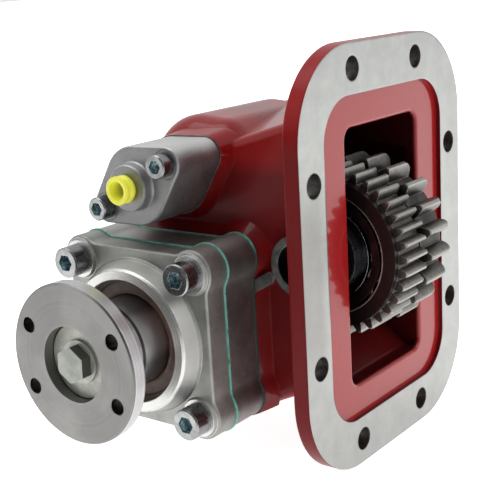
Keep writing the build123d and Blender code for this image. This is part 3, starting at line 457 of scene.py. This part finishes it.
def dull_black(name, scale, dark, light, rough, depth):
    """Paper or rubber: near black with a fine grain."""
    f = Finish(name)
    grain = f.noise(scale, 4, 0.7)
    return f.set(
        Base_Color=f.mix(grain, dark, light),
        Roughness=f.blend(grain, *rough), Normal=f.bump(grain, depth),
    )


def screw_axes(node, head, count):
    """The axes of a pair or a square of screws, from the box that their heads fill."""
    low, high = limits(node)
    r = head / 2
    corners = [(high.x - r, high.z - r), (low.x + r, low.z + r)]
    return corners if count == 2 else corners + [(high.x - r, low.z + r), (low.x + r, high.z - r)]


def zinc_screws(name, node, head, count, socket_r):
    """Bright zinc: a turned head, a bluish socket, painted shade on the side and a little grime."""
    f = Finish(name)
    grain = f.noise(900, 4, 0.7)
    clouds = f.noise(170, 3)
    edge = f.edges(0.4, 0.03, 0.3)
    barrel = f.sides()
    colour = f.mix(clouds.spread(), (0.26, 0.27, 0.27), (0.39, 0.40, 0.40))
    # Painted shade: the side of the head is darker.
    colour = f.mix(barrel, colour, (0.26, 0.26, 0.275))
    colour = f.mix(edge * 0.8, colour, (0.86, 0.87, 0.86))
    colour = f.mix(grain.rise(0.6, 0.75) * 0.35, colour, (0.30, 0.30, 0.29))
    near = None
    for x, z in screw_axes(node, head, count):
        away = f.distance(f.x, f.z, x, z)
        near = near.least(away) if near else away
    front = front_of(node)
    socket = near.fall(socket_r * 1.02, socket_r * 1.1) * f.y.rise(front + 0.15, front + 0.4)
    blue = f.mix(f.noise(420, 3).rise(0.35, 0.65), (0.22, 0.29, 0.31), (0.66, 0.82, 0.86))
    colour = f.mix(socket, colour, blue)
    rings = f.turning(near, 9)
    return f.set(
        Base_Color=colour, Metallic=1.0, Roughness=f.blend(grain, 0.2, 0.34),
        Normal=f.bump(rings * 0.4 + grain * 0.6, 0.025, f.rounded(0.35)),
    )


def pale_zinc(name, tint=(0.52, 0.53, 0.47), side=0.0):
    """Yellowish zinc of washers, rear cap and bolts, dull from handling; side sets how far painted shade
    darkens the flats.
    """
    f = Finish(name)
    grain = f.noise(500, 5, 0.7)
    clouds = f.noise(140, 4)
    edge = f.edges(0.5, 0.03, 0.3)
    colour = f.mix(clouds.rise(0.35, 0.7), tint, [0.72 * c for c in tint])
    colour = f.mix(grain.rise(0.6, 0.72) * 0.6, colour, (0.20, 0.20, 0.15))
    # Painted shade on the flats, which face sideways.
    colour = f.mix(f.sides() * side, colour, (0.075, 0.08, 0.068))
    colour = f.mix(edge * 0.6, colour, (0.80, 0.80, 0.74))
    return f.set(
        Base_Color=colour, Metallic=0.55, Roughness=f.blend(grain, 0.34, 0.5),
        Normal=f.bump(grain, 0.04, f.rounded(0.4)),
    )


def turned_steel():
    """The companion flange: satin disc, banded rim, holes dark with painted shade, painted shade in the hub's
    groove and a painted highlight on one side of the hub.
    """
    f = Finish("turned_steel")
    radius = f.radius(shaft_axis)
    low, high = limits("companion_flange")
    disc_r = (high.x - low.x) / 2
    hub = f.y.rise(disc_front + HUB_START, disc_front + HUB_START + 2)
    recess = radius.fall(DISC_RECESS_R, DISC_RECESS_R + 0.3) * f.y.rise(disc_front + 0.3, disc_front + 0.6)
    rings = f.turning(radius, 5)
    along = f.turning(f.y, 4, 30.0)
    grain = f.noise(380, 5, 0.7)
    clouds = f.noise(38, 3)
    faced = f.mix(clouds.spread(), (0.175, 0.172, 0.166), (0.24, 0.237, 0.229))
    faced = f.mix(rings.rise(0.45, 0.8) * 0.5, faced, (0.44, 0.435, 0.42))
    rim = (1 - hub) * f.sides() * radius.rise(disc_r - 2, disc_r - 1.5)
    bands = f.turning(f.y, 2.5, 5.0).rise(0.35, 0.65)
    faced = f.mix(rim, faced, f.mix(bands, (0.36, 0.36, 0.365), (0.78, 0.78, 0.79)))
    ground = f.mix(along.spread(), (0.24, 0.24, 0.245), (0.42, 0.42, 0.43))
    across, up = f.x - shaft_axis.x, f.z - shaft_axis.z
    # Painted highlight: a bright streak on one side of the hub.
    painted_glint = ((across * 0.93 + up * 0.37) / radius).rise(0.80, 0.97)
    ground = f.mix(painted_glint * 0.8, ground, (0.90, 0.90, 0.91))
    groove_front, groove_back = [disc_front + edge for edge in HUB_GROOVE]
    # Painted shade: the hub's groove is darkened almost to black.
    groove = f.y.between(groove_front, groove_back, 0.4)
    ground = f.mix(groove * 0.9, ground, (0.04, 0.04, 0.04))
    colour = f.mix(hub, faced, ground)
    to_hole = f.distance(abs(across), abs(up), *half_spacing("companion_flange_bolts"))
    hole = to_hole.fall(DISC_HOLE_R, DISC_HOLE_R + 0.2)
    # Painted shade: the bolt holes are darkened.
    colour = f.mix(hole * (1 - hub), colour, (0.05, 0.048, 0.045))
    colour = f.mix(recess * 0.5, colour, (0.20, 0.195, 0.185))
    colour = f.worn(colour, (0.80, 0.79, 0.78), 0.5, 0.7)
    on_face = f.face_y.fall(-0.9, -0.7)
    relief = f.blend(on_face, along, rings)
    return f.set(
        Base_Color=colour, Metallic=1.0,
        Roughness=f.blend(hub, f.blend(grain, 0.30, 0.42), f.blend(along, 0.28, 0.42)),
        Normal=f.bump(relief * 0.7 + grain * 0.3, 0.035, f.rounded(0.5)),
    )


def seal_brown():
    """Moulded brown rubber with a dark rib and greasy smears."""
    f = Finish("seal_brown")
    radius = f.radius(shaft_axis)
    smear = f.noise(90, 4, 0.6)
    grain = f.noise(600, 4, 0.7)
    colour = f.mix(smear.spread(), (0.07, 0.036, 0.026), (0.17, 0.088, 0.062))
    colour = f.mix(radius.between(*SEAL_RIB) * 0.5, colour, (0.03, 0.012, 0.008))
    return f.set(
        Base_Color=colour, Roughness=f.blend(smear, 0.36, 0.6),
        Normal=f.bump(grain * 0.5 + f.turning(radius, 1.5) * 0.5, 0.12, f.rounded(0.5)),
    )


def plug_yellow():
    """Soft yellow plastic with a faint painted glow; painted shade darkens it to olive down the bore."""
    f = Finish("plug_yellow")
    radius = f.radius(cylinder_axis)
    bore = radius.fall(PLUG_BORE_R, PLUG_BORE_R + 0.4) * f.y.rise(plug_front + 0.8, plug_front + 7.0)
    grain = f.noise(260, 3, 0.5)
    colour = f.mix(grain, (0.86, 0.84, 0.06), (0.92, 0.91, 0.10))
    # Painted shade: olive down the bore.
    colour = f.mix(bore * 0.85, colour, (0.40, 0.39, 0.06))
    return f.set(
        # Painted glow: the plug faintly emits its own colour.
        Base_Color=colour, Roughness=f.blend(grain, 0.28, 0.4), Emission_Color=colour, Emission_Strength=0.14,
        Subsurface_Weight=0.15, Subsurface_Radius=(0.002, 0.002, 0.0005),
        Normal=f.bump(grain, 0.05, f.rounded(0.5)),
    )


def gear_steel():
    """The idler gear: painted shade in the valleys and bore, a painted dark reflection on the front face,
    crests and tooth ends rubbed and painted bright.
    """
    f = Finish("idler_gear_steel")
    radius = f.radius(idler_axis)
    front_face = f.face_y.fall(-0.95, -0.8) * f.y.fall(gear_front + 0.3, gear_front + 0.6)
    in_bore = radius.fall(GEAR_BORE_R, GEAR_BORE_R + 0.3)
    step = f.y.fall(gear_front + GEAR_STEP, gear_front + GEAR_STEP + 0.2)
    grain = f.noise(420, 5, 0.65)
    patches = f.noise(120, 4)
    coarse = f.y.rise(COARSE_ROW_START, COARSE_ROW_START + 1)
    crest_r = f.blend(coarse, FINE_ROW_CREST_R, COARSE_ROW_CREST_R)
    crest = (radius - crest_r).rise(-0.6, 0.3)
    above_valley = (radius - crest_r).rise(-5.0, 0.5)
    # Painted shade: the valleys between the teeth are dark.
    darkening = f.mix(patches.spread(), (0.030, 0.026, 0.024), (0.070, 0.062, 0.056))
    flank = f.mix(grain.spread(), (0.15, 0.143, 0.135), (0.26, 0.252, 0.235))
    colour = f.mix(above_valley, darkening, flank)
    # Painted highlight on the crests.
    colour = f.mix(crest * 0.6, colour, (0.40, 0.39, 0.36))
    # Tooth ends rubbed bright, with a painted highlight on them.
    colour = f.mix(f.edges(0.35, 0.05, 0.3) * (1 - front_face) * 0.9, colour, (0.74, 0.73, 0.69))
    # Painted reflection: the front face and step take a dark brown, the housing's red reflected.
    brown = f.mix(patches, (0.022, 0.015, 0.014), (0.045, 0.030, 0.028))
    colour = f.mix(front_face.most(step), colour, brown)
    lip = radius.between(GEAR_BORE_R - 0.4, GEAR_BORE_R + 0.1) * f.y.fall(gear_front + 0.5, gear_front + 0.8)
    colour = f.mix(lip, colour, (0.60, 0.57, 0.54))
    # Painted shade: the bore is darkened almost to black.
    colour = f.mix(in_bore * (1 - lip) * 0.8, colour, (0.015, 0.011, 0.010))
    return f.set(
        Base_Color=colour, Metallic=0.85, Roughness=f.blend(grain, 0.34, 0.5),
        Normal=f.bump(grain * 0.7 + f.turning(radius, 3) * front_face * 0.3, 0.05, f.rounded(0.4)),
    )


def ground_steel(name, dark, light, axis=idler_axis):
    """Hardened and ground steel under a lubricant film, with marks round its axis."""
    f = Finish(name)
    film = f.noise(70, 3)
    marks = f.turning(f.radius(axis), 8) * 0.5 + f.turning(f.y, 8, 12.0) * 0.5
    colour = f.worn(f.mix(film.spread(), dark, light), (0.75, 0.76, 0.78), 0.35, 0.7)
    return f.set(
        Base_Color=colour, Metallic=1.0, Roughness=f.blend(film, 0.1, 0.2),
        Normal=f.bump(marks, 0.015, f.rounded(0.3)),
    )


def rough_steel(name, dark, light, rough=(0.35, 0.5)):
    """Forged or cut steel with a greasy grain."""
    f = Finish(name)
    grain = f.noise(350, 5, 0.65)
    patches = f.noise(80, 3)
    bright = [min(1, 1.8 * c) for c in light]
    colour = f.worn(f.mix(patches.spread(), dark, light), bright, 0.4, 0.6)
    return f.set(
        Base_Color=colour, Metallic=0.9, Roughness=f.blend(grain, *rough),
        Normal=f.bump(grain, 0.05, f.rounded(0.35)),
    )


paint(red_casting(), "housing")
paint(cover_alloy(), "front_cover")
paint(adaptor_alloy(), "adaptor_plate")
paint(cylinder_alloy(), "air_cylinder", "piston")
paint(gasket_green("adaptor_gasket_fibre", 0.9), "adaptor_gasket")
paint(gasket_green("cover_gasket_fibre"), "cover_gasket")
paint(
    dull_black("cylinder_gasket", 800, (0.012, 0.012, 0.012), (0.05, 0.045, 0.045), (0.7, 0.9), 0.15),
    "cylinder_gasket",
)
paint(
    zinc_screws("cover_screw_zinc", "cover_screws", COVER_SCREW_HEAD, 4, COVER_SCREW_SOCKET_R),
    "cover_screws",
)
paint(
    zinc_screws("cylinder_screw_zinc", "cylinder_screws", CYLINDER_SCREW_HEAD, 2, CYLINDER_SCREW_SOCKET_R),
    "cylinder_screws",
)
paint(pale_zinc("retainer_zinc"), "retaining_washer", "lock_washer", "rear_cap", "piston_screw")
paint(pale_zinc("bolt_zinc", (0.36, 0.37, 0.34), side=0.85), "flange_bolt")
paint(turned_steel(), "companion_flange")
paint(seal_brown(), "shaft_seal")
paint(plug_yellow(), "port_plug")
paint(gear_steel(), "idler_gear")
paint(ground_steel("cup_steel", (0.42, 0.41, 0.40), (0.60, 0.59, 0.58)), "idler_bearing_cups")
# Painted dark reflection: the cones are the cups' ground steel, kept dark.
paint(ground_steel("cone_steel", (0.06, 0.065, 0.08), (0.16, 0.17, 0.20)), "idler_bearing_cones")
paint(ground_steel("roller_steel", (0.20, 0.21, 0.24), (0.40, 0.42, 0.46)), "idler_bearing_rollers")
paint(
    rough_steel("cage_steel", (0.018, 0.011, 0.010), (0.05, 0.03, 0.026), (0.3, 0.5)),
    "idler_bearing_cages",
)
paint(rough_steel("spacer_steel", (0.06, 0.055, 0.055), (0.12, 0.11, 0.11), (0.2, 0.35)), "idler_spacers")
paint(rough_steel("shaft_end_steel", (0.02, 0.022, 0.021), (0.05, 0.055, 0.052)), "idler_shaft")
paint(
    rough_steel("inner_steel", (0.16, 0.155, 0.15), (0.30, 0.295, 0.28)),
    "output_shaft", "sliding_gear", "shift_fork", "shift_rod",
)
paint(
    ground_steel("ball_bearing_steel", (0.35, 0.35, 0.36), (0.60, 0.61, 0.62), axis=shaft_axis),
    "front_bearing_outer_ring", "front_bearing_inner_ring", "front_bearing_balls",
    "rear_bearing_outer_ring", "rear_bearing_inner_ring", "rear_bearing_balls",
)
paint(
    rough_steel("pressed_steel", (0.30, 0.30, 0.29), (0.48, 0.48, 0.46)),
    "front_bearing_cage", "rear_bearing_cage",
)
paint(
    rough_steel("spring_steel", (0.08, 0.08, 0.085), (0.20, 0.20, 0.205)),
    "return_spring", "rear_bearing_circlip", "shaft_circlip", "idler_shaft_circlip", "fork_pin",
)
paint(
    dull_black("rubber_black", 700, (0.010, 0.010, 0.011), (0.03, 0.03, 0.032), (0.45, 0.7), 0.05),
    "piston_o_ring",
)


# Camera, as the photograph was taken

camera = bpy.data.objects.new("camera", bpy.data.cameras.new("camera"))
bpy.context.collection.objects.link(camera)
camera.data.sensor_width = 36
camera.data.lens = 77.834
camera.location = (0.268997, -0.467104, 0.139601)
camera.rotation_euler = [math.radians(a) for a in (75.6061, 3.2127, 36.7086)]
bpy.context.scene.camera = camera


# Pale floor, in metres; its glow fades, in millimetres, between the frame's lower border and the camera

FLOOR_GAP = 0.0005
FLOOR_REACH = 14
TOWARDS_CAMERA = (0.505, 0.863)
GLOW_FADE = (110, 300)

floor_z = limits("housing")[0].z * MM - FLOOR_GAP
corners = [
    (side_x * FLOOR_REACH, side_y * FLOOR_REACH, floor_z)
    for side_x, side_y in ((-1, -1), (1, -1), (1, 1), (-1, 1))
]
floor_mesh = bpy.data.meshes.new("floor")
floor_mesh.from_pydata(corners, [], [(0, 1, 2, 3)])
floor = bpy.data.objects.new("floor", floor_mesh)
bpy.context.collection.objects.link(floor)
pale = Finish("pale_floor")
before_frame = TOWARDS_CAMERA[0] * pale.x - TOWARDS_CAMERA[1] * pale.y
glow = pale.mix(before_frame.rise(*GLOW_FADE), (1, 1, 1), (0.1, 0.1, 0.1))
pale.set(Base_Color=(0.86, 0.86, 0.86), Roughness=0.9, Emission_Color=glow, Emission_Strength=0.9)
floor_mesh.materials.append(pale.material)


# Lights, and a sky that is darker on the side that the output disc faces

def add_light(name, kind, place, aim, energy):
    """Adds a lamp that looks from its place to its aim."""
    data = bpy.data.lights.new(name, kind)
    data.energy = energy
    lamp = bpy.data.objects.new(name, data)
    lamp.location = place
    lamp.rotation_euler = (Vector(aim) - Vector(place)).to_track_quat("-Z", "Y").to_euler()
    bpy.context.collection.objects.link(lamp)
    return data


MIDDLE = (-0.06, -0.03, 0)
SKY_STRENGTH, SKY_DARKENING = 0.8, 0.68

overhead = add_light("overhead", "SUN", (-0.6, -0.3, 2.0), (0, 0, 0), 0.9)
overhead.angle = math.radians(45)
left = add_light("left_softbox", "AREA", (-1.0, -0.9, 0.75), MIDDLE, 2.5)
left.size = 0.8
right = add_light("right_softbox", "AREA", (1.1, 0.15, 0.6), MIDDLE, 4)
right.size = 0.7

studio = bpy.data.worlds.new("studio")
bpy.context.scene.world = studio
studio.use_nodes = True
sky = Graph(studio.node_tree)
towards = sky.node("ShaderNodeTexCoord", out="Generated")
dark_side = Vector((0.25, -0.95, 0.05)).normalized()
darkness = sky.dot(towards, tuple(dark_side)).rise(-0.1, 0.8)
backdrop = studio.node_tree.nodes["Background"]
backdrop.inputs["Color"].default_value = (1, 1, 1, 1)
sky.join(backdrop.inputs["Strength"], SKY_STRENGTH - darkness * SKY_DARKENING)
bpy.context.scene.view_settings.view_transform = "Standard"
